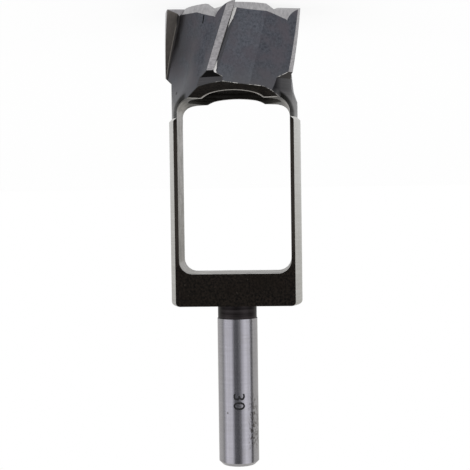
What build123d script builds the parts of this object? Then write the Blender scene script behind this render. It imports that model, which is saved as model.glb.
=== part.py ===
"""Plug cutter for 30 mm wooden plugs: one steel forging, turned, milled and ground.

All sizes are in millimetres, +Z up. The cutter stands on its toothed end with the
shank pointing up. Heights are worked out from the plane of the outer tips, and at
the end the part is lifted so that z = 0 is the ring around the bore, which leads them.
"""
import os
from math import cos, degrees, radians, sin, tan

from build123d import *

# ---- head: bore, teeth and the turned neck behind them
bore_d = 30.0             # plug diameter, and the bore that guides the plug
wall_t = 7.1              # from the bore to the margins of the teeth
tooth_len = 20.9          # from the tips to the chamfer behind the teeth
neck_step = 1.8           # the turned neck behind the teeth is this far inside the margins
neck_len = 11.5           # from the chamfer to the step up to the legs
teeth = 5
helix_angle = 18.5        # lean of the margins
first_tooth = -94.7       # direction of the first tip, degrees from +X
margin_w = 2.1            # width of the ground strip along each tooth

# ---- gullets milled in front of the teeth
floor_t = 3.2             # metal left between the bore and the floors
floor_span = 34.5         # degrees of floor in front of each rake face
root_r = 0.9              # fillet between rake face and floor
root_rise = 0.185         # how fast the root climbs outwards along the tooth
root_rise_from = 5.0      # where that climb starts
root_hollow = 0.2         # share of that climb left at mid floor
runout_angle = 11.5       # slope on which the floor leaves the metal
land_h = 1.95             # the land rises this much over the floor before its steep end
land_span = 57.5          # degrees from the rake face to that point
land_mid_h = 1.1          # height of the land halfway there
land_climb = 0.05         # how fast the land runs out past the end of the tooth
steep_hollow = 0.25       # hollow of the steep end up to the ground strip

# ---- grinding of the cutting end
ring_w = 1.15             # flat ring around the mouth of the bore
ring_lead = 0.5           # that ring stands this far in front of the outer tips
bevel_angle = 50.8        # cone that falls outwards from the ring
land_w = 0.35             # flat left at the cutting edge
relief_run = 6.2          # from the cutting edge back to the bottom of the relief, at the bore
relief_taper = 0.0        # the run shortens this much for each millimetre outwards
relief_ring = 1.5         # depth of that bottom under the ring, at the bore
relief_fall = 31.8        # angle at which the bottom falls outwards
relief_rise = 25.0        # angle at which the cut climbs again behind its bottom
crown_ring = 0.08         # share of the depth by which the relief swells at mid run, at the bore
crown_tip = 0.3           # the same at the outer tips
facet_set = 0.12          # how far the ground face leans back towards the bore
facet_lean = 0.09         # how far it leans forward as it goes down

# ---- forged frame: two legs and the bar that carries the shank
leg_step = 0.9            # the legs' turned outer faces are this far inside the margins
leg_t = 3.4               # thickness of a leg at its middle
frame_len = 59.8          # from the step at the neck to the end of the bar
slab_t = 18.8             # between the two flat sides
shoulder_z = 24.1         # where the shoulder leaves the neck
shoulder_angle = 24.0     # slope of the shoulder
shoulder_r = 8.0          # fillet from the shoulder into the flat side
shoulder_lift = 2.3       # the shoulder stands this much higher beside the legs
shoulder_mid_w = 20.0     # width of its level middle
shoulder_ramp_w = 6.0     # width of the rise on each side of the middle
window_len = 55.2
window_r = 4.3            # corners of the window
bar_t = 10.3              # between the window and the end of the frame
frame_edge_r = 1.2        # rounded end corner of the frame

# ---- shank
shank_d = 13.0
shank_len = 47.5
shank_neck_d = 12.6       # turned relief next to the frame
shank_neck_len = 4.5
shank_chamfer = 1.1

# ---- positions that follow from the sizes
bore_r = bore_d / 2
head_r = bore_r + wall_t
gullet_r = bore_r + floor_t
neck_r = head_r - neck_step
frame_r = head_r - leg_step
window_w = 2 * (frame_r - leg_t)
ring_r = bore_r + ring_w
slab_h = slab_t / 2
chamfer_z = tooth_len + head_r - neck_r
neck_z = chamfer_z + neck_len
frame_z = neck_z + frame_len
window_z1 = frame_z - bar_t
window_z0 = window_z1 - window_len
shank_z = frame_z + shank_neck_len
top_z = shank_z + shank_len
pitch = 360 / teeth
twist = degrees(tan(radians(helix_angle)) / head_r)   # degrees per millimetre of length
clear = 3.0               # how far the cutting tools reach past the metal
cone_drop = 0.03          # the cone starts this far behind the ring
relief_overlap = 0.1      # the cone's cut reaches this far into the relief cut


def turned_blank():
    """The forging after turning: head, neck, legs and shank as one profile."""
    outline = [
        (0, -ring_lead),
        (ring_r, -ring_lead),
        (head_r, 0),
        (head_r, tooth_len),
        (neck_r, chamfer_z),
        (neck_r, neck_z),
        (frame_r, neck_z + frame_r - neck_r),
        (frame_r, frame_z),
        (shank_neck_d / 2, frame_z),
        (shank_neck_d / 2, shank_z),
        (shank_d / 2, shank_z),
        (shank_d / 2, top_z - shank_chamfer),
        (shank_d / 2 - shank_chamfer, top_z),
        (0, top_z),
    ]
    with BuildPart() as blank:
        with BuildSketch(Plane.XZ) as half:
            with BuildLine():
                Polyline(*outline, close=True)
            make_face()
            outer = half.vertices().filter_by_position(Axis.X, frame_r - 0.01, frame_r + 0.01)
            fillet(outer.sort_by(Axis.Y)[-1], frame_edge_r)
        revolve(axis=Axis.Z)
    return blank.part


def shoulder_section(x, lift):
    """Outline of the forged recess beside one flat side, at distance x from the middle."""
    slope = tan(radians(shoulder_angle))
    corner_z = shoulder_z + lift + (neck_r - slab_h) * slope
    tangent = shoulder_r * tan(radians(90 - shoulder_angle) / 2)
    reach = head_r + clear
    top = frame_z + clear

    along_slope = Vector(0, cos(radians(shoulder_angle)), -sin(radians(shoulder_angle)))
    foot = Vector(x, slab_h, corner_z) + along_slope * tangent
    rise = Vector(x, slab_h, corner_z + tangent)
    centre = Vector(x, slab_h + shoulder_r, corner_z + tangent)
    middle = centre + ((foot + rise) * 0.5 - centre).normalized() * shoulder_r
    outer = Vector(x, reach, corner_z - (reach - slab_h) * slope)
    return Wire([
        Edge.make_line(outer, foot),
        Edge.make_three_point_arc(foot, middle, rise),
        Edge.make_line(rise, Vector(x, slab_h, top)),
        Edge.make_line(Vector(x, slab_h, top), Vector(x, reach, top)),
        Edge.make_line(Vector(x, reach, top), outer),
    ])


def side_cutter():
    """Recess beside one flat side; its shoulder rises towards the legs."""
    mid = shoulder_mid_w / 2
    ramp = mid + shoulder_ramp_w
    end = head_r + clear
    stations = [(-end, 1), (-ramp, 1), (-mid, 0), (mid, 0), (ramp, 1), (end, 1)]
    return Solid.make_loft([shoulder_section(x, shoulder_lift * up) for x, up in stations], ruled=True)


def window_cutter():
    """The long window between the legs."""
    middle = (window_z0 + window_z1) / 2
    with BuildPart() as cutter:
        with BuildSketch(Plane.XZ):
            with Locations((0, middle)):
                RectangleRounded(window_w, window_len, window_r)
        extrude(amount=head_r, both=True)
    return cutter.part


def gullet_section(z):
    """Outline of one gullet at height z, turned with the helix."""
    root = gullet_r + root_rise * max(0.0, z - root_rise_from)
    floor = gullet_r + tan(radians(runout_angle)) * max(0.0, z - tooth_len)
    root = max(root, floor)
    span = pitch - degrees(margin_w / head_r)
    outside = head_r + 2 * clear
    back = head_r + 0.2
    fillet_angle = degrees(root_r / root)

    def at(radius, ahead):
        angle = radians(twist * z - ahead)
        return Vector(radius * cos(angle), radius * sin(angle), z)

    floor_mid = floor + (root - floor) * root_hollow
    climb_out = land_climb * max(0.0, z - tooth_len)
    land_mid = max(gullet_r + land_mid_h + climb_out, floor)
    land_end = max(gullet_r + land_h + climb_out, floor)
    steep_mid = (land_end + back) / 2 - steep_hollow
    edges = [
        Edge.make_line(at(root + root_r, 0), at(outside, 0)),
        Edge.make_line(at(outside, 0), at(outside, span)),
        Edge.make_line(at(outside, span), at(back, span)),
        Edge.make_three_point_arc(
            at(back, span),
            at(steep_mid, (span + land_span) / 2),
            at(land_end, land_span),
        ),
        Edge.make_three_point_arc(
            at(land_end, land_span),
            at(land_mid, (land_span + floor_span) / 2),
            at(floor, floor_span),
        ),
        Edge.make_three_point_arc(
            at(floor, floor_span),
            at(floor_mid, floor_span / 2),
            at(root, fillet_angle),
        ),
        Edge.make_three_point_arc(
            at(root, fillet_angle),
            at(root + 0.3 * root_r, 0.3 * fillet_angle),
            at(root + root_r, 0),
        ),
    ]
    return Wire(edges)


def gullet_cutter():
    """Milling cut for one gullet, from below the tips to its run-out on the neck."""
    runout = (neck_r - gullet_r + 0.3) / tan(radians(runout_angle))
    stations = [
        -clear,
        root_rise_from,
        tooth_len * 0.5,
        tooth_len * 0.75,
        tooth_len,
        tooth_len + runout * 0.5,
        tooth_len + runout,
    ]
    return Solid.make_loft([gullet_section(z) for z in stations], ruled=False)


def bevel_cutter():
    """Grinding cone in front of a tooth, between its face and the next tooth's relief."""
    slope = tan(radians(bevel_angle))
    far = head_r + 2 * clear
    start = cone_drop - ring_lead
    under = -ring_lead - clear
    with BuildPart() as cone:
        with BuildSketch(Plane.XZ):
            with BuildLine():
                Polyline(
                    (ring_r + (under - start) / slope, under),
                    (far, start + (far - ring_r) * slope),
                    (far, under),
                    close=True,
                )
            make_face()
        revolve(axis=Axis.Z)

    ahead = radians(-pitch)
    along = Vector(cos(ahead), sin(ahead), 0)
    behind = Vector(-sin(ahead), cos(ahead), 0)
    mouth_x = (bore_r ** 2 - relief_run ** 2) ** 0.5
    wall = (along - behind * relief_taper).normalized()

    def sector(z):
        """Plan of the ground zone at height z."""
        face_0 = Vector(0, facet_set * head_r - facet_lean * z, 0)
        face_dir = Vector(1, -facet_set, 0)
        edge_0 = along * mouth_x + behind * (relief_run - relief_overlap)
        gap = edge_0 - face_0
        det = face_dir.X * -wall.Y + wall.X * face_dir.Y
        step = (gap.X * -wall.Y + wall.X * gap.Y) / det
        up = Vector(0, 0, z)
        inner = face_0 + face_dir * step
        middle = radians(-pitch / 2)
        return Wire.make_polygon([
            inner + up,
            face_0 + face_dir * 2 * far + up,
            Vector(cos(middle), sin(middle), 0) * 2 * far + up,
            edge_0 + wall * 2 * far + up,
        ])

    zone = Solid.make_loft([sector(-3 * clear), sector(2 * far)], ruled=True)
    return cone.part & zone


def relief_cutter():
    """Grinding cut behind a cutting edge: it sinks away from the edge and outwards."""
    fall = tan(radians(relief_fall))
    rise = tan(radians(relief_rise))
    lead_slope = ring_lead / (head_r - ring_r)
    mouth_x = (bore_r ** 2 - relief_run ** 2) ** 0.5
    inner_x = mouth_x - 0.95 * relief_ring / fall
    outer_x = head_r + clear
    under = -ring_lead - clear
    far = 2 * relief_run

    def section(x):
        run = relief_run - relief_taper * (x - mouth_x)
        middle = (land_w + run) / 2
        edge = min(0.0, x - head_r) * lead_slope
        depth = relief_ring - ring_lead + (x - mouth_x) * fall
        outwards = max(0.0, x - mouth_x) / (head_r - mouth_x)
        crown = crown_ring + (crown_tip - crown_ring) * outwards
        swell = edge + (depth - edge) * (0.5 - crown)
        end = depth - (far - run) * rise
        return Wire([
            Edge.make_three_point_arc(
                Vector(x, land_w, edge),
                Vector(x, middle, swell),
                Vector(x, run, depth),
            ),
            Edge.make_line(Vector(x, run, depth), Vector(x, far, end)),
            Edge.make_line(Vector(x, far, end), Vector(x, far, under)),
            Edge.make_line(Vector(x, far, under), Vector(x, land_w, under)),
            Edge.make_line(Vector(x, land_w, under), Vector(x, land_w, edge)),
        ])

    stations = [inner_x, mouth_x, head_r, outer_x]
    return Solid.make_loft([section(x) for x in stations], ruled=True)


def plug_cutter():
    body = turned_blank()
    side = side_cutter()
    body -= side
    body -= side.mirror(Plane.XZ)
    body -= window_cutter()
    bore_from = -ring_lead - clear
    bore_to = (window_z0 + window_z1) / 2
    bore = Cylinder(bore_r, bore_to - bore_from, align=(Align.CENTER, Align.CENTER, Align.MIN))
    body -= Pos(0, 0, bore_from) * bore

    gullet = gullet_cutter()
    bevel = bevel_cutter()
    relief = relief_cutter()
    for i in range(teeth):
        turn = Rot(0, 0, first_tooth + i * pitch)
        body -= turn * gullet
    for i in range(teeth):
        turn = Rot(0, 0, first_tooth + i * pitch)
        body -= turn * bevel
        body -= turn * relief
    return Pos(0, 0, ring_lead) * body


os.makedirs("parts", exist_ok=True)
part = plug_cutter()
export_step(part, "parts/plug_cutter.step")
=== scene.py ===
"""Looks of the plug cutter: forged, turned, blued and ground steel on a white studio floor."""
from math import atan, cos, hypot, pi, radians, sin

import bpy
from mathutils import Matrix, Vector


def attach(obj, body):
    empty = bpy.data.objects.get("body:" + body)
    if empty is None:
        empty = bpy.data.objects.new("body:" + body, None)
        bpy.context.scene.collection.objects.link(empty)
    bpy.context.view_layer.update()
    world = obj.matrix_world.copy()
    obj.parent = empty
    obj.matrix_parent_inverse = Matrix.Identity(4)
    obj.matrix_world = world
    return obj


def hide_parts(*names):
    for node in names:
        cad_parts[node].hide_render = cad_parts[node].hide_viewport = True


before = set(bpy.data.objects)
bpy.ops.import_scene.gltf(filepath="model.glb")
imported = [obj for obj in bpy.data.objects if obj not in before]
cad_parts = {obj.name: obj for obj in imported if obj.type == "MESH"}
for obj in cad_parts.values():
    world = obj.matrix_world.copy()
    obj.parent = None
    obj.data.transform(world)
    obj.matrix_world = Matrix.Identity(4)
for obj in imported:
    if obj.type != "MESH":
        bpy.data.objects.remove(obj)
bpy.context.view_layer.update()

# Sizes of the cutter that its finishes follow, in metres
BORE_R = 0.0150
HEAD_R = 0.0221
LEG_R = 0.0212
SHANK_R = 0.0065
TIP_Z = 0.0040               # gullets and lands start below it
FACET_TOP_Z = 0.0052         # the ground facets on the teeth's ends lie below it
RAKE_Z = 0.0100              # a rake face reaches above it
TOOTH_END_Z = 0.0214
CHAMFER_TOP_Z = 0.0240       # the chamfers behind the teeth end below it
SHOULDER_TOP_Z = 0.0300      # the edges of the shoulder behind the teeth lie below it
ARCH_TOP_Z = 0.0345          # the edge of the opening between ring and window lies below it
NECK_END_Z = 0.0347
BAR_TOP_Z = 0.0945
SHANK_Z = 0.0990
CORNER = (0.0120, 0.0340)    # middle of the window's lower corner, outwards and up
CORNER_LINE = (0.0069, 0.0075)       # the black line round it fades out between these radii
NEAR = 0.00006               # surfaces closer than this are taken as the same
WELD = 0.000002              # corners closer than this are merged

# Angles in degrees, and shares
FLAT_ANGLE = 0.4             # facets that meet at less become one face
SMOOTH_ANGLE = 28            # surfaces that meet at less are shaded as one
FRONT_BEARING = -90          # the photograph's side, round the axis
SLOPE_UP = 0.65              # the slopes at the ends of the legs look this far up or down
ROOT_CLIMB = 0.185           # the foot of the root fillet moves outwards by this share of its rise

# Small details, in metres and degrees
RIM_BREAK = 0.00022          # the broken edge round the bore
LINE_BREAK = 0.00010         # the broken edges of the shoulder and of the chamfers
NICK_SIZE = (0.0016, 0.00040, 0.0026)
NICK_R = 0.0194
NICK_BEARING = -64.4         # round the axis
NICK_LEAN = -10
NICK_Z = 0.00535
PIT = (0.0180, -0.0074, 0.0268)                  # a small pit behind the teeth
PIT_R = 0.0006
SHANK_PIT = (0.00325, -0.00563, 0.1291)          # a small pit beside the size mark
SHANK_PIT_R = 0.00035
MARK_Z = 0.1253              # middle of the size mark
MARK_R = 0.00651             # the mark lies on the shank
MARK_SIZE = 0.0052
MARK_BOLDNESS = 0.00003      # the strokes are wider by this much on each side
MARK_STRETCH = 1.1           # the figures are this much longer along the shank
MARK_DEPTH = 0.00003
MARK_STRIP = 0.00018         # the figures bend round the shank in strips of this width
MARK_STRIPS = 12             # strips on each side of their middle

# The photograph's camera
PIXEL = 0.001 / 3.085        # one pixel at the cutter's axis
HALF_PHOTO = 235             # pixels from the photograph's middle to its sides
LEVEL_ROW = 203.5            # the row at the camera's own height
AXIS_COLUMN = 236.3          # the column of the cutter's axis
CAMERA_DISTANCE = 0.345
CAMERA_Z = 0.06195
CAMERA_SIDE = 3.0            # the camera stands this many degrees to one side
CAMERA_ROLL = 0.78

# The light tent: its brightness by the bearing in degrees, 0 at the camera's side of the cutter
TENT = (
    (-110, (0.64, 0.63, 0.61)),
    (-97, (0.50, 0.49, 0.48)),
    (-92, (0.38, 0.38, 0.38)),
    (-86, (0.38, 0.38, 0.38)),
    (-80, (0.84, 0.83, 0.88)),
    (-40, (0.62, 0.61, 0.66)),
    (-27, (0.62, 0.61, 0.66)),
    (-20, (0.13, 0.13, 0.14)),
    (16, (0.13, 0.13, 0.14)),
    (23, (0.66, 0.65, 0.69)),
    (45, (0.84, 0.83, 0.88)),
    (76, (0.62, 0.61, 0.65)),
    (82, (0.10, 0.10, 0.10)),
    (93, (0.10, 0.10, 0.10)),
    (98, (0.64, 0.63, 0.60)),
)


# Handling of objects and selections
def deselect_all():
    for obj in bpy.context.selected_objects:
        obj.select_set(False)


def activate(obj):
    deselect_all()
    obj.select_set(True)
    bpy.context.view_layer.objects.active = obj


def add_and_apply(obj, kind, **settings):
    activate(obj)
    modifier = obj.modifiers.new(kind.lower(), kind)
    for key, value in settings.items():
        setattr(modifier, key, value)
    bpy.ops.object.modifier_apply(modifier=modifier.name)


# Materials: small building blocks
NOISE_LOW, NOISE_HIGH = 0.3, 0.7      # nearly all of a noise pattern lies between these
RING_LOW, RING_HIGH = 0.32, 0.66      # the dark and the light of turned rings


def new_finish(name, roughness, metallic, specular=0.5):
    material = bpy.data.materials.new(name)
    material.use_nodes = True
    shader = material.node_tree.nodes["Principled BSDF"]
    shader.inputs["Roughness"].default_value = roughness
    shader.inputs["Metallic"].default_value = metallic
    shader.inputs["Specular IOR Level"].default_value = specular
    return material


def object_place(tree, stretch):
    """Object coordinates, scaled in each direction: a small number draws the pattern out."""
    place = tree.nodes.new("ShaderNodeTexCoord")
    mapping = tree.nodes.new("ShaderNodeMapping")
    mapping.inputs["Scale"].default_value = stretch
    tree.links.new(place.outputs["Object"], mapping.inputs["Vector"])
    return mapping.outputs["Vector"]


def noise(tree, stretch, scale, detail=3.0, roughness=0.55):
    """A noise pattern. Its scale is about how many grains it has in a metre."""
    node = tree.nodes.new("ShaderNodeTexNoise")
    node.inputs["Scale"].default_value = scale
    node.inputs["Detail"].default_value = detail
    node.inputs["Roughness"].default_value = roughness
    tree.links.new(object_place(tree, stretch), node.inputs["Vector"])
    return node.outputs["Fac"]


def part_of(tree, axis):
    """One of the object coordinates, in metres."""
    place = tree.nodes.new("ShaderNodeTexCoord")
    parts = tree.nodes.new("ShaderNodeSeparateXYZ")
    tree.links.new(place.outputs["Object"], parts.inputs["Vector"])
    return parts.outputs[axis]


def reckon(tree, operation, first, second):
    """Arithmetic on two values, each a number or a socket."""
    node = tree.nodes.new("ShaderNodeMath")
    node.operation = operation
    for socket, value in zip(node.inputs, (first, second)):
        if isinstance(value, (int, float)):
            socket.default_value = value
        else:
            tree.links.new(value, socket)
    return node.outputs["Value"]


def both(tree, first, second):
    """The product of two values: of two masks, 1 where both are 1."""
    return reckon(tree, "MULTIPLY", first, second)


def either(tree, first, second):
    """The larger of two values."""
    return reckon(tree, "MAXIMUM", first, second)


def off_middle(tree, axis):
    """Distance from the cutter's middle along one axis, the same on both sides."""
    return reckon(tree, "ABSOLUTE", part_of(tree, axis), 0)


def length_of(tree, across, along):
    """Length of the line that goes across and along by these amounts."""
    square = reckon(tree, "ADD", both(tree, across, across), both(tree, along, along))
    return reckon(tree, "SQRT", square, 0)


def from_axis(tree):
    """Distance from the cutter's axis."""
    x, y = part_of(tree, "X"), part_of(tree, "Y")
    return length_of(tree, x, y)


def spread(tree, value, low, high, to_low, to_high):
    """Carries the range from low to high over to another range, and holds its ends beyond."""
    node = tree.nodes.new("ShaderNodeMapRange")
    node.inputs["From Min"].default_value = low
    node.inputs["From Max"].default_value = high
    node.inputs["To Min"].default_value = to_low
    node.inputs["To Max"].default_value = to_high
    tree.links.new(value, node.inputs["Value"])
    return node.outputs["Result"]


def fade_in(tree, value, start, end, full=1.0):
    """0 before start and full past end. Start may be the larger: then it fades in downwards."""
    return spread(tree, value, start, end, 0.0, full)


def fade_out(tree, value, start, end, full=1.0):
    """Full before start and 0 past end."""
    return spread(tree, value, start, end, full, 0.0)


def follow(tree, pattern, low, high):
    """A value from low to high that follows a noise pattern."""
    return spread(tree, pattern, NOISE_LOW, NOISE_HIGH, low, high)


def spot(tree, centre, radius):
    """1 inside a small round spot at centre, 0 outside."""
    place = tree.nodes.new("ShaderNodeTexCoord")
    away = tree.nodes.new("ShaderNodeVectorMath")
    away.operation = "DISTANCE"
    away.inputs[1].default_value = centre
    tree.links.new(place.outputs["Object"], away.inputs[0])
    return fade_out(tree, away.outputs["Value"], 0.7 * radius, radius)


def ramp(tree, fac, stops):
    """Colour by a value: each stop is a place from 0 to 1 and a colour."""
    node = tree.nodes.new("ShaderNodeValToRGB")
    elements = node.color_ramp.elements
    while len(elements) < len(stops):
        elements.new(0.5)
    for element, (position, colour) in zip(elements, stops):
        element.position = position
        element.color = (*colour, 1)
    tree.links.new(fac, node.inputs["Fac"])
    return node.outputs["Color"]


def blend_colours(tree, fac, first, second):
    """The first colour where fac is 0, the second where it is 1; each a colour or a socket."""
    node = tree.nodes.new("ShaderNodeMix")
    node.data_type = "RGBA"
    fac_socket, first_socket, second_socket = node.inputs[0], node.inputs[6], node.inputs[7]
    for socket, value in ((fac_socket, fac), (first_socket, first), (second_socket, second)):
        if isinstance(value, tuple):
            socket.default_value = (*value, 1)
        else:
            tree.links.new(value, socket)
    return node.outputs[2]


def finish_with(material, colour, roughness, bumps):
    """Joins colour, roughness and bumps (height, strength, depth) to the shader."""
    tree = material.node_tree
    shader = tree.nodes["Principled BSDF"]
    tree.links.new(colour, shader.inputs["Base Color"])
    tree.links.new(roughness, shader.inputs["Roughness"])
    normal = None
    for height, strength, depth in bumps:
        node = tree.nodes.new("ShaderNodeBump")
        node.inputs["Strength"].default_value = strength
        node.inputs["Distance"].default_value = depth
        tree.links.new(height, node.inputs["Height"])
        if normal is not None:
            tree.links.new(normal, node.inputs["Normal"])
        normal = node.outputs["Normal"]
    tree.links.new(normal, shader.inputs["Normal"])
    return material


# Materials: the finishes of the cutter
EVEN = (1, 1, 1)
ROUND_AND_ROUND = (0.02, 0.02, 1)     # marks that run round the axis
UP_AND_DOWN = (1, 1, 0.03)            # marks that run along the axis
CORNER_BLACK = (0.004, 0.004, 0.003)
PIT_BLACK = (0.01, 0.01, 0.01)


def forged_black():
    """Black scale left by the forging: grainy, with small rubbed specks.

    It is lighter along the outside of the legs, and rubbed bright on the rim round the bore, with a
    painted highlight there.
    """
    material = new_finish("forged_black", 0.6, 0.0, 0.09)
    tree = material.node_tree
    grain = noise(tree, EVEN, 1500, 5.0, 0.75)
    cloud = noise(tree, EVEN, 160, 3.0)
    specks = noise(tree, EVEN, 1150, 1.0)
    scale = ramp(tree, grain, [(0.42, (0.0003, 0.0002, 0.0001)), (0.58, (0.0150, 0.0108, 0.0078))])
    browned = fade_in(tree, cloud, 0.35, 0.7, 0.5)
    warm = blend_colours(tree, browned, scale, (0.0060, 0.0040, 0.0026))

    height = part_of(tree, "Z")
    outside = fade_in(tree, off_middle(tree, "X"), 0.0160, 0.0175, 0.6)
    above_neck = fade_in(tree, height, 0.0345, 0.0400)
    below_bar = fade_out(tree, height, 0.0740, 0.0830)
    on_legs = both(tree, outside, both(tree, above_neck, below_bar))
    legs = blend_colours(tree, on_legs, warm, (0.036, 0.031, 0.027))
    speckled = fade_in(tree, specks, 0.75, 0.80, 0.7)
    rubbed = blend_colours(tree, speckled, legs, (0.055, 0.048, 0.040))

    # wear and painted highlight: the bright rim round the bore
    by_bore = fade_out(tree, from_axis(tree), 0.01535, 0.01560)
    by_ring = fade_out(tree, height, 0.0325, 0.0335, 0.85)
    rim = both(tree, by_bore, by_ring)
    on_rim = both(tree, rim, spread(tree, cloud, 0.36, 0.52, 0.55, 1.0))
    rimmed = blend_colours(tree, on_rim, rubbed, (0.42, 0.40, 0.37))
    return finish_with(
        material, rimmed, follow(tree, cloud, 0.5, 0.75),
        [(grain, 0.5, 0.00006), (cloud, 0.3, 0.0002)],
    )


def turned_steel(name, light, dark, roughness, ring_scale, depth):
    """Turned steel: fine rings round the axis and a faint cloudiness."""
    material = new_finish(name, roughness, 1.0)
    tree = material.node_tree
    rings = noise(tree, ROUND_AND_ROUND, ring_scale, 2.0)
    cloud = noise(tree, EVEN, 220, 3.0)
    grain = noise(tree, EVEN, 3500, 2.0)
    ringed = ramp(tree, rings, [(RING_LOW, dark), (RING_HIGH, light)])
    toned = blend_colours(tree, fade_in(tree, cloud, 0.4, 0.75, 0.45), ringed, dark)
    return finish_with(
        material, toned, follow(tree, rings, roughness - 0.06, roughness + 0.08),
        [(rings, 0.35, depth), (grain, 0.2, depth)],
    )


def corner_black_line(tree):
    """1 on the black line that runs round the window's corner, 0 elsewhere."""
    outwards = off_middle(tree, "X")
    across = reckon(tree, "SUBTRACT", outwards, CORNER[0])
    along = reckon(tree, "SUBTRACT", part_of(tree, "Z"), CORNER[1])
    line = fade_out(tree, length_of(tree, across, along), *CORNER_LINE)
    return both(tree, line, fade_in(tree, outwards, 0.0143, 0.0152))


def neck_steel():
    """Turned neck: rings, darker from the heat near the teeth, and a small pit.

    Behind one land at the front a black patch is painted: the painted shadow of the land's end.
    """
    material = new_finish("neck_turned", 0.42, 1.0)
    tree = material.node_tree
    rings = noise(tree, ROUND_AND_ROUND, 2200, 2.0)
    cloud = noise(tree, EVEN, 220, 3.0)
    heated = ramp(tree, rings, [(RING_LOW, (0.058, 0.057, 0.060)), (RING_HIGH, (0.090, 0.088, 0.092))])
    plain = ramp(tree, rings, [(RING_LOW, (0.20, 0.20, 0.20)), (RING_HIGH, (0.28, 0.28, 0.28))])

    height = reckon(tree, "ADD", part_of(tree, "Z"), follow(tree, cloud, -0.001, 0.001))
    side = part_of(tree, "X")
    past_near_side = fade_in(tree, side, -0.0110, -0.0125, 0.9)
    before_far_side = fade_in(tree, side, -0.0153, -0.0136)
    behind_land = fade_out(tree, height, 0.0272, 0.0292)
    at_front = fade_in(tree, part_of(tree, "Y"), 0.0, -0.004)
    # painted shadow: the land's end shades the neck here, so this patch is painted near black
    patch = both(
        tree, both(tree, past_near_side, before_far_side), both(tree, behind_land, at_front))
    painted_shade_tone = blend_colours(tree, patch, heated, (0.012, 0.012, 0.014))
    toned = blend_colours(tree, fade_in(tree, height, 0.0265, 0.0345), painted_shade_tone, plain)
    pit = spot(tree, PIT, PIT_R)
    blackened = blend_colours(tree, corner_black_line(tree), toned, CORNER_BLACK)
    pitted = blend_colours(tree, pit, blackened, PIT_BLACK)
    return finish_with(
        material, pitted, follow(tree, rings, 0.36, 0.50),
        [(rings, 0.35, 0.00004), (pit, -0.5, 0.0001)],
    )


def chamfer_steel():
    """Chamfer behind the teeth: painted near black as shade, and lighter brown, with less painted shade,
    towards minus X.
    """
    material = new_finish("chamfer_black", 0.5, 1.0)
    tree = material.node_tree
    rings = noise(tree, ROUND_AND_ROUND, 2200, 2.0)
    # painted shade: near black, as on a face turned away from the light
    painted_shade_tone = ramp(tree, rings, [(RING_LOW, (0.004, 0.004, 0.004)), (RING_HIGH, (0.020, 0.019, 0.018))])
    brown = ramp(tree, rings, [(RING_LOW, (0.050, 0.046, 0.047)), (RING_HIGH, (0.080, 0.075, 0.076))])
    # less painted shade on the teeth towards minus X
    less_painted_shade = fade_in(tree, part_of(tree, "X"), -0.0110, -0.0135)
    toned = blend_colours(tree, less_painted_shade, painted_shade_tone, brown)
    return finish_with(material, toned, follow(tree, rings, 0.44, 0.58), [(rings, 0.35, 0.00003)])


def milled_steel():
    """Window faces: short marks of the milling cutter across their edges.

    They are shaded low in the corners, and black scale laps over their edges.
    """
    material = new_finish("window_milled", 0.42, 1.0)
    tree = material.node_tree
    across = noise(tree, (0.1, 0.1, 1), 1800, 2.0)
    cloud = noise(tree, EVEN, 180, 3.0)
    milled = ramp(tree, across, [(NOISE_LOW, (0.22, 0.21, 0.198)), (NOISE_HIGH, (0.33, 0.318, 0.300))])
    toned = blend_colours(tree, fade_in(tree, cloud, 0.4, 0.75, 0.5), milled, (0.21, 0.20, 0.188))

    # painted shade low in the window's inner corners
    low = fade_out(tree, part_of(tree, "Z"), 0.0330, 0.0345)
    inwards = fade_out(tree, off_middle(tree, "X"), 0.0150, 0.0168)
    shaded = blend_colours(tree, both(tree, low, inwards), toned, (0.03, 0.028, 0.024))
    ragged = noise(tree, EVEN, 1100, 2.0)
    from_middle = off_middle(tree, "Y")
    reach = reckon(tree, "ADD", from_middle, follow(tree, ragged, -0.0004, 0.0004))
    at_edge = fade_in(tree, reach, 0.00905, 0.00920)
    scaled = blend_colours(tree, at_edge, shaded, (0.02, 0.018, 0.015))
    return finish_with(material, scaled, follow(tree, cloud, 0.36, 0.50), [(across, 0.4, 0.00003)])


def blued_steel(name, light, dark, runout):
    """Gullets and lands after hardening: blue-grey with a violet mottle, and milling marks.

    Painted shade darkens it by the root of one tooth at the front. Towards the neck it goes over to
    that of the run-out.
    """
    material = new_finish(name, 0.42, 0.85, 0.35)
    tree = material.node_tree
    mottle = noise(tree, EVEN, 1300, 5.0, 0.7)
    cloud = noise(tree, EVEN, 190, 2.0)
    along = noise(tree, UP_AND_DOWN, 1500, 2.0)
    blued = ramp(tree, mottle, [(0.34, dark), (0.66, light)])
    violet = blend_colours(tree, fade_in(tree, cloud, 0.42, 0.62, 0.65), blued, (0.094, 0.084, 0.097))

    height = part_of(tree, "Z")
    # painted shade by the root of one tooth at the front
    wide = both(
        tree,
        fade_in(tree, part_of(tree, "X"), 0.0085, 0.0180, 0.80),
        fade_out(tree, height, 0.014, 0.025),
    )
    narrow = both(
        tree,
        fade_in(tree, part_of(tree, "X"), 0.0145, 0.0172),
        fade_out(tree, height, 0.012, 0.019, 0.97),
    )
    at_front = fade_out(tree, part_of(tree, "Y"), -0.0050, -0.0015)
    root_painted_shade = both(tree, either(tree, wide, narrow), at_front)
    shaded = blend_colours(tree, root_painted_shade, violet, (0.018, 0.017, 0.019))
    toned = blend_colours(tree, fade_in(tree, height, 0.0175, 0.0300, 0.85), shaded, runout)
    pit = spot(tree, PIT, PIT_R)
    blackened = blend_colours(tree, corner_black_line(tree), toned, CORNER_BLACK)
    pitted = blend_colours(tree, pit, blackened, PIT_BLACK)
    return finish_with(
        material, pitted, follow(tree, mottle, 0.36, 0.50),
        [(along, 0.3, 0.00003), (mottle, 0.15, 0.00005)],
    )


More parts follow.
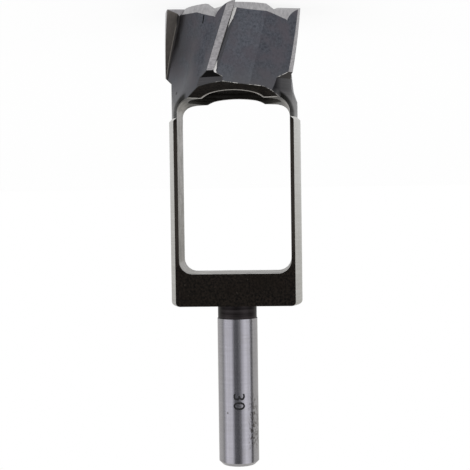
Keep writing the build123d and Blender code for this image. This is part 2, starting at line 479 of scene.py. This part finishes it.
def ground_steel(name, light, dark, roughness, stretch, scale):
    """Ground steel: straight fine scratches of the grinding wheel."""
    material = new_finish(name, roughness, 1.0)
    tree = material.node_tree
    scratches = noise(tree, stretch, scale, 3.0, 0.6)
    cloud = noise(tree, EVEN, 500, 2.0)
    ground = ramp(tree, scratches, [(NOISE_LOW, dark), (NOISE_HIGH, light)])
    toned = blend_colours(tree, fade_in(tree, cloud, 0.5, 0.8, 0.4), ground, dark)
    return finish_with(
        material, toned, follow(tree, scratches, roughness - 0.05, roughness + 0.08),
        [(scratches, 0.25, 0.00002)],
    )


def root_with_painted_light():
    """Fillet in front of a tooth: at the front, a painted highlight at both ends of the tooth and blued
    between.

    Away from the front it is painted darker as shade, with a painted highlight along its lip.
    """
    material = new_finish("root_rubbed", 0.45, 0.2, 0.4)
    tree = material.node_tree
    height = part_of(tree, "Z")
    wear = noise(tree, EVEN, 700, 2.0)
    climbed = fade_in(tree, height, 0.0055, 0.0215, 0.0160)
    foot = both(tree, climbed, ROOT_CLIMB)
    up_fillet = fade_in(tree, reckon(tree, "SUBTRACT", from_axis(tree), foot), 0.0178, 0.0190)

    tip_curve = spread(tree, height, 0.0020, 0.0085, -0.15, 0.80)
    end_curve = spread(tree, height, 0.0185, 0.0207, 0.88, 0.42)
    from_tip = reckon(tree, "GREATER_THAN", up_fillet, tip_curve)
    from_end = reckon(tree, "GREATER_THAN", up_fillet, end_curve)
    near_tip = fade_out(tree, height, 0.0075, 0.0085)
    near_end = fade_in(tree, height, 0.0184, 0.0188)
    ends = either(tree, near_tip, near_end)
    on_left = fade_out(tree, part_of(tree, "X"), 0.0100, 0.0130)
    before_middle = spread(tree, part_of(tree, "Y"), 0.0, -0.004, 0.2, 1.0)
    front = both(tree, on_left, before_middle)
    # painted highlight: the light that the fillet mirrors at both ends of the front tooth
    bright = both(tree, either(tree, from_tip, from_end), both(tree, ends, front))
    uneven_painted_highlight = both(tree, bright, spread(tree, wear, 0.3, 0.5, 0.6, 1.0))

    # painted shade on the fillets away from the front
    painted_shade_tone = blend_colours(tree, front, (0.014, 0.012, 0.012), (0.052, 0.053, 0.062))
    # painted highlight along the top of the fillet
    top = fade_in(tree, up_fillet, 0.80, 0.90, 0.7)
    lip = both(tree, top, fade_out(tree, front, 0.0, 0.2))
    with_painted_lip_highlight = blend_colours(tree, lip, painted_shade_tone, (0.22, 0.20, 0.175))
    toned = blend_colours(tree, uneven_painted_highlight, with_painted_lip_highlight, (0.68, 0.67, 0.66))
    return finish_with(material, toned, follow(tree, wear, 0.4, 0.5), [(wear, 0.2, 0.00003)])


def shank_steel():
    """Ground shank: fine rings, faint stains, and a patch of pits and scratches near its end."""
    material = new_finish("shank_ground", 0.2, 1.0)
    tree = material.node_tree
    rings = noise(tree, ROUND_AND_ROUND, 5000, 2.0)
    streaks = noise(tree, (1, 1, 0.012), 1300, 2.0)
    cloud = noise(tree, EVEN, 260, 3.0)
    steel = ramp(tree, rings, [(NOISE_LOW, (0.42, 0.415, 0.44)), (NOISE_HIGH, (0.48, 0.475, 0.505))])
    drawn = blend_colours(tree, fade_in(tree, streaks, 0.5, 0.7, 0.45), steel, (0.36, 0.355, 0.37))
    toned = blend_colours(tree, fade_in(tree, cloud, 0.5, 0.8, 0.35), drawn, (0.36, 0.35, 0.335))
    pits = noise(tree, (1, 1, 0.6), 1500, 3.0, 0.7)
    patch = pitted_patch(tree)
    scattered = both(tree, fade_in(tree, pits, 0.51, 0.58), patch)
    pitted = either(tree, scattered, spot(tree, SHANK_PIT, SHANK_PIT_R))
    worn = blend_colours(tree, pitted, toned, (0.16, 0.152, 0.145))
    return finish_with(
        material, worn, follow(tree, streaks, 0.16, 0.26),
        [(rings, 0.08, 0.00002), (pitted, -0.3, 0.00004)],
    )


def pitted_patch(tree):
    """1 on the pitted side of the shank, between two heights, and 0 elsewhere."""
    side = fade_in(tree, part_of(tree, "X"), -0.0030, -0.0042)
    front = fade_in(tree, part_of(tree, "Y"), 0.0, -0.0015)
    height = part_of(tree, "Z")
    bottom = fade_in(tree, height, 0.122, 0.128)
    top = fade_out(tree, height, 0.139, 0.142)
    return both(tree, both(tree, side, front), both(tree, bottom, top))


def edge_steel():
    """Broken edge round the bore: rubbed bright in places, with a painted highlight there, dull between.
    """
    material = new_finish("edge_rubbed", 0.45, 0.3, 0.4)
    tree = material.node_tree
    wear = noise(tree, EVEN, 420, 3.0)
    # wear and painted highlight: the bright patches stand for rubbed metal and for light on the edge
    toned = ramp(tree, wear, [(0.28, (0.16, 0.155, 0.145)), (0.46, (0.52, 0.50, 0.47))])
    return finish_with(material, toned, follow(tree, wear, 0.5, 0.4), [(wear, 0.2, 0.00003)])


def worn_highlit_line():
    """Edges of the shoulder and the chamfers: rubbed bright in places, with a painted highlight there, and
    dark on one side.
    """
    material = new_finish("edge_worn", 0.5, 0.2, 0.4)
    tree = material.node_tree
    wear = noise(tree, EVEN, 900, 3.0, 0.7)
    # wear and painted highlight: the bright dashes stand for rubbed metal and for light on the edge
    dashed = ramp(tree, wear, [(0.44, (0.05, 0.05, 0.052)), (0.58, (0.62, 0.60, 0.57))])
    dark_side = fade_in(tree, part_of(tree, "X"), 0.002, 0.006)
    toned = blend_colours(tree, dark_side, dashed, (0.045, 0.045, 0.047))
    return finish_with(material, toned, follow(tree, wear, 0.55, 0.4), [(wear, 0.2, 0.00003)])


def etched_black():
    """The size mark, etched into the shank."""
    material = new_finish("mark_etched", 0.55, 0.0, 0.2)
    tree = material.node_tree
    grain = noise(tree, EVEN, 4000, 2.0)
    toned = ramp(tree, grain, [(0.35, (0.006, 0.006, 0.007)), (0.75, (0.035, 0.034, 0.036))])
    return finish_with(material, toned, follow(tree, grain, 0.5, 0.7), [(grain, 0.3, 0.00001)])


def make_finishes():
    """Every finish of the cutter by its name, in the order of its material slots."""
    return {
        "forged_black": forged_black(),
        "leg_turned": turned_steel(
            "leg_turned", (0.64, 0.64, 0.625), (0.53, 0.525, 0.505), 0.40, 2600, 0.00002),
        "neck_turned": neck_steel(),
        "shank_neck_black": turned_steel(
            "shank_neck_black", (0.058, 0.051, 0.052), (0.004, 0.003, 0.003), 0.40, 900, 0.00008),
        "bar_end_dark": turned_steel(
            "bar_end_dark", (0.09, 0.085, 0.08), (0.03, 0.028, 0.025), 0.45, 900, 0.00004),
        "window_milled": milled_steel(),
        "bore_dark": turned_steel(
            "bore_dark", (0.10, 0.095, 0.085), (0.03, 0.028, 0.024), 0.45, 1500, 0.00003),
        "gullet_blued": blued_steel(
            "gullet_blued", (0.122, 0.129, 0.150), (0.062, 0.067, 0.080), (0.106, 0.108, 0.114)),
        "land_blued": blued_steel(
            "land_blued", (0.096, 0.101, 0.119), (0.046, 0.049, 0.060), (0.094, 0.094, 0.100)),
        "chamfer_black": chamfer_steel(),
        "rake_ground": ground_steel(
            "rake_ground", (0.17, 0.155, 0.138), (0.12, 0.110, 0.098), 0.45, UP_AND_DOWN, 1600),
        "root_rubbed": root_with_painted_light(),
        "margin_ground": ground_steel(
            "margin_ground", (0.50, 0.485, 0.495), (0.26, 0.252, 0.262), 0.42, (0.4, 0.4, 1), 2200),
        "tip_ground": ground_steel(
            "tip_ground", (0.46, 0.45, 0.46), (0.29, 0.285, 0.295), 0.42, (1, 0.15, 0.4), 1700),
        "shank_ground": shank_steel(),
        "edge_rubbed": edge_steel(),
        "edge_worn": worn_highlit_line(),
        "mark_etched": etched_black(),
    }


# The steel body
def loose_parts(mesh):
    """The faces of the mesh, grouped by which of them hang together."""
    leader = list(range(len(mesh.vertices)))

    def lead(index):
        while leader[index] != index:
            leader[index] = leader[leader[index]]
            index = leader[index]
        return index

    for face in mesh.polygons:
        first = lead(face.vertices[0])
        for index in face.vertices[1:]:
            leader[lead(index)] = first
    groups = {}
    for face in mesh.polygons:
        groups.setdefault(lead(face.vertices[0]), []).append(face)
    return list(groups.values())


def looks_towards(faces):
    """How far a surface looks outward, around and upward, each from -1 to 1."""
    area = outward = around = upward = 0
    for face in faces:
        normal, centre = face.normal, face.center
        radius = max(hypot(centre.x, centre.y), 1e-6)
        area += face.area
        outward += face.area * (normal.x * centre.x + normal.y * centre.y) / radius
        around += face.area * (normal.y * centre.x - normal.x * centre.y) / radius
        upward += face.area * normal.z
    return outward / area, around / area, upward / area


def finish_of(mesh, faces):
    """The finish of one machined surface, by where it is and the way it looks."""
    wholly, mostly, partly = 0.99, 0.9, 0.5
    outward, around, upward = looks_towards(faces)
    corners = [mesh.vertices[i].co for face in faces for i in face.vertices]
    inner = min(hypot(co.x, co.y) for co in corners)
    outer = max(hypot(co.x, co.y) for co in corners)
    bottom = min(co.z for co in corners)
    top = max(co.z for co in corners)

    # the bore, the shank, the bar's end and the turned outside of the legs
    if outer < BORE_R + NEAR and outward < -mostly:
        return "bore_dark"
    if outer < SHANK_R + NEAR:
        return "shank_neck_black" if top < SHANK_Z + NEAR else "shank_ground"
    if bottom > BAR_TOP_Z - NEAR:
        return "bar_end_dark"
    if outer < LEG_R + NEAR and inner > LEG_R - NEAR:
        return "leg_turned"
    # the slopes at the ends of the legs, then the rest of the window
    sloping = abs(outward) > 0.55 and abs(abs(upward) - SLOPE_UP) < 0.08
    if sloping and bottom > NECK_END_Z - NEAR:
        return "window_milled" if outward < 0 else "leg_turned"
    if outward < -partly or (upward < -wholly and bottom > NECK_END_Z):
        return "window_milled"
    # the teeth and the neck
    if top < FACET_TOP_Z and (upward < -partly or bottom > TIP_Z):
        return "tip_ground"
    if outward > wholly:
        return "margin_ground" if inner > HEAD_R - NEAR else "neck_turned"
    if around < -mostly:
        return "rake_ground" if top > RAKE_Z else "tip_ground"
    if around < -partly and outward > partly:
        return "root_rubbed"
    if bottom > TOOTH_END_Z - NEAR and top < CHAMFER_TOP_Z and upward > 0.6:
        return "chamfer_black"
    if upward > wholly:
        return "bore_dark"
    if bottom < TIP_Z and top > CHAMFER_TOP_Z:
        return "gullet_blued" if around < 0 else "land_blued"
    return "forged_black"


def sharp_edges(mesh, test, angle=0.5):
    """Edges whose two faces meet at more than the angle, in radians, and that pass the test."""
    faces_of = {}
    for face in mesh.polygons:
        for key in face.edge_keys:
            faces_of.setdefault(key, []).append(face)
    found = []
    for edge in mesh.edges:
        faces = faces_of.get(tuple(sorted(edge.vertices)), [])
        if len(faces) != 2 or faces[0].normal.angle(faces[1].normal, 0) < angle:
            continue
        ends = [mesh.vertices[i].co for i in edge.vertices]
        names = {mesh.materials[face.material_index].name for face in faces}
        if test(ends, names):
            found.append(edge.index)
    return found


def break_edges(cutter, test, width, segments, slot):
    """A small bevel along the edges that pass the test."""
    activate(cutter)
    bpy.ops.object.mode_set(mode="EDIT")
    bpy.ops.mesh.select_mode(type="EDGE")
    bpy.ops.mesh.select_all(action="DESELECT")
    bpy.ops.object.mode_set(mode="OBJECT")
    for index in sharp_edges(cutter.data, test):
        cutter.data.edges[index].select = True
    bpy.ops.object.mode_set(mode="EDIT")
    bpy.ops.mesh.bevel(
        offset=width, segments=segments, profile=0.5, affect="EDGES", clamp_overlap=False, material=slot,
    )
    bpy.ops.object.mode_set(mode="OBJECT")


def arch_rim(ends, kinds):
    """Edge between the forged flats and the inside of the opening, round the bore."""
    inner = kinds & {"window_milled", "bore_dark"}
    return inner and "forged_black" in kinds and max(end.z for end in ends) < ARCH_TOP_Z


def shoulder_line(ends, kinds):
    """Edge between the forged flats and the gullets, lands or neck."""
    outer = kinds & {"gullet_blued", "land_blued", "neck_turned"}
    return outer and "forged_black" in kinds and max(end.z for end in ends) < SHOULDER_TOP_Z


def chamfer_line(ends, kinds):
    """Edge between the chamfer behind a tooth and the gullets or lands."""
    return kinds & {"gullet_blued", "land_blued"} and "chamfer_black" in kinds


def make_cutter(finishes):
    """The frame's cutter as one closed mesh, with a finish on every surface."""
    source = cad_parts["plug_cutter"]
    cutter = bpy.data.objects.new("cutter_steel", source.data.copy())
    bpy.context.scene.collection.objects.link(cutter)
    mesh = cutter.data
    mesh.materials.clear()
    names = list(finishes)
    for material in finishes.values():
        mesh.materials.append(material)
    for faces in loose_parts(mesh):
        slot = names.index(finish_of(mesh, faces))
        for face in faces:
            face.material_index = slot

    activate(cutter)
    bpy.ops.object.mode_set(mode="EDIT")
    bpy.ops.mesh.select_all(action="SELECT")
    bpy.ops.mesh.remove_doubles(threshold=WELD)
    bpy.ops.mesh.customdata_custom_splitnormals_clear()
    bpy.ops.mesh.dissolve_limited(angle_limit=radians(FLAT_ANGLE), delimit={"MATERIAL"})
    bpy.ops.object.mode_set(mode="OBJECT")

    break_edges(cutter, arch_rim, RIM_BREAK, 2, names.index("edge_rubbed"))
    break_edges(cutter, shoulder_line, LINE_BREAK, 1, names.index("edge_worn"))
    break_edges(cutter, chamfer_line, LINE_BREAK, 1, names.index("edge_worn"))
    return cutter


def cut_nick(cutter, finishes):
    """The narrow nick in the land beside the front tooth."""
    bearing = radians(NICK_BEARING)
    bpy.ops.mesh.primitive_cube_add(size=1, location=(0, 0, 0))
    chisel = bpy.context.object
    chisel.name = "nick_chisel"
    chisel.data.materials.append(finishes["bore_dark"])
    chisel.scale = NICK_SIZE
    chisel.rotation_euler = (radians(NICK_LEAN), 0, bearing)
    chisel.location = (NICK_R * cos(bearing), NICK_R * sin(bearing), NICK_Z)
    activate(chisel)
    bpy.ops.object.transform_apply(location=True, rotation=True, scale=True)
    add_and_apply(
        cutter, "BOOLEAN", object=chisel, operation="DIFFERENCE", solver="EXACT", material_mode="TRANSFER",
    )
    bpy.data.objects.remove(chisel)


def make_size_mark(finishes):
    """The plug's diameter, etched into the shank and read along it."""
    bpy.ops.object.text_add(location=(0, 0, 0))
    mark = bpy.context.object
    mark.name = "size_mark"
    mark.data.body = "30"
    mark.data.size = MARK_SIZE
    mark.data.offset = MARK_BOLDNESS
    mark.data.align_x = "CENTER"
    mark.data.align_y = "CENTER"
    activate(mark)
    bpy.ops.object.convert(target="MESH")
    mark = bpy.context.object
    bpy.ops.object.mode_set(mode="EDIT")
    for step in range(-MARK_STRIPS, MARK_STRIPS + 1):
        bpy.ops.mesh.select_all(action="SELECT")
        bpy.ops.mesh.bisect(plane_co=(0, step * MARK_STRIP, 0), plane_no=(0, 1, 0))
    bpy.ops.object.mode_set(mode="OBJECT")
    for vertex in mark.data.vertices:
        bearing = radians(FRONT_BEARING - CAMERA_SIDE) - vertex.co.y / SHANK_R
        along = MARK_Z + MARK_STRETCH * vertex.co.x
        vertex.co = (MARK_R * cos(bearing), MARK_R * sin(bearing), along)
    mark.data.materials.clear()
    mark.data.materials.append(finishes["mark_etched"])
    add_and_apply(mark, "SOLIDIFY", thickness=MARK_DEPTH, offset=0)
    return mark


# The studio
def make_camera():
    """Level camera, half a turn rolled, because the photograph shows the head at the top."""
    side = radians(CAMERA_SIDE)
    roll = radians(CAMERA_ROLL)
    place = Vector((-CAMERA_DISTANCE * sin(side), -CAMERA_DISTANCE * cos(side), CAMERA_Z))
    aim = Vector((0, 0, CAMERA_Z + (HALF_PHOTO - LEVEL_ROW) * PIXEL))
    forward = (aim - place).normalized()
    down = Vector((0, 0, -1))
    down = (down - forward * down.dot(forward)).normalized()
    across = forward.cross(down)
    up = down * cos(roll) + across * sin(roll)
    right = across * cos(roll) - down * sin(roll)
    place = place - right * (AXIS_COLUMN - HALF_PHOTO) * PIXEL
    turn = Matrix((right, up, -forward)).transposed().to_4x4()
    turn.translation = place
    data = bpy.data.cameras.new("camera")
    data.angle = 2 * atan(HALF_PHOTO * PIXEL / CAMERA_DISTANCE)
    data.clip_start = 0.01
    data.clip_end = 20
    camera = bpy.data.objects.new("camera", data)
    camera.matrix_world = turn
    bpy.context.scene.collection.objects.link(camera)
    bpy.context.scene.camera = camera


def make_floor():
    """Pale floor: nearly white to the camera, but it keeps the cutter's shadow."""
    bpy.ops.mesh.primitive_plane_add(size=8, location=(0, 0, 0))
    floor = bpy.context.object
    floor.name = "studio_floor"
    material = bpy.data.materials.new("floor_white")
    material.use_nodes = True
    tree = material.node_tree
    paint = tree.nodes["Principled BSDF"]
    paint.inputs["Base Color"].default_value = (0.96, 0.96, 0.96, 1)
    paint.inputs["Roughness"].default_value = 1.0
    paint.inputs["Specular IOR Level"].default_value = 0.0
    glow = tree.nodes.new("ShaderNodeEmission")
    glow.inputs["Color"].default_value = (1, 1, 1, 1)
    glow.inputs["Strength"].default_value = 1.0
    path = tree.nodes.new("ShaderNodeLightPath")
    to_camera = both(tree, path.outputs["Is Camera Ray"], 0.85)
    seen = either(tree, to_camera, path.outputs["Is Glossy Ray"])
    mixed = tree.nodes.new("ShaderNodeMixShader")
    tree.links.new(seen, mixed.inputs["Fac"])
    tree.links.new(paint.outputs["BSDF"], mixed.inputs[1])
    tree.links.new(glow.outputs["Emission"], mixed.inputs[2])
    tree.links.new(mixed.outputs["Shader"], tree.nodes["Material Output"].inputs["Surface"])
    floor.data.materials.append(material)


def make_light_tent():
    """White all round to the camera. What the steel mirrors is a tent with a gap at the camera."""
    world = bpy.data.worlds.new("light_tent")
    bpy.context.scene.world = world
    world.use_nodes = True
    tree = world.node_tree
    background = tree.nodes["Background"]
    place = tree.nodes.new("ShaderNodeTexCoord")
    parts = tree.nodes.new("ShaderNodeSeparateXYZ")
    tree.links.new(place.outputs["Generated"], parts.inputs["Vector"])
    bearing = reckon(
        tree, "ARCTAN2", both(tree, parts.outputs["X"], -1.0), both(tree, parts.outputs["Y"], -1.0))
    turn = spread(tree, bearing, -pi, pi, 0.0, 1.0)
    tent = ramp(tree, turn, [((degrees + 180) / 360, colour) for degrees, colour in TENT])
    path = tree.nodes.new("ShaderNodeLightPath")
    mirrored = blend_colours(tree, path.outputs["Is Glossy Ray"], (0.98, 0.98, 0.98), tent)
    seen = blend_colours(tree, path.outputs["Is Camera Ray"], mirrored, (1.0, 1.0, 1.0))
    tree.links.new(seen, background.inputs["Color"])
    background.inputs["Strength"].default_value = 1.0


def add_lamp(name, place, aim, size, power):
    """A square lamp with sides of this size, which points at aim."""
    data = bpy.data.lights.new(name, "AREA")
    data.shape = "RECTANGLE"
    data.size = data.size_y = size
    data.energy = power
    lamp = bpy.data.objects.new(name, data)
    lamp.location = place
    lamp.rotation_euler = (Vector(aim) - Vector(place)).to_track_quat("-Z", "Y").to_euler()
    bpy.context.scene.collection.objects.link(lamp)


deselect_all()
make_camera()
make_floor()
make_light_tent()
add_lamp("lamp_left", (0.60, -0.50, 0.45), aim=(0, 0, 0.07), size=0.6, power=0.35)
add_lamp("lamp_right", (-0.60, -0.40, 0.40), aim=(0, 0, 0.07), size=0.6, power=0.25)
finishes = make_finishes()
cutter = make_cutter(finishes)
cut_nick(cutter, finishes)
activate(cutter)
bpy.ops.object.shade_smooth_by_angle(angle=radians(SMOOTH_ANGLE))
add_and_apply(cutter, "WEIGHTED_NORMAL", keep_sharp=True, weight=60)
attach(cutter, "root")
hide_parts("plug_cutter")
mark = make_size_mark(finishes)
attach(mark, "root")

bpy.context.scene.view_settings.view_transform = "Standard"
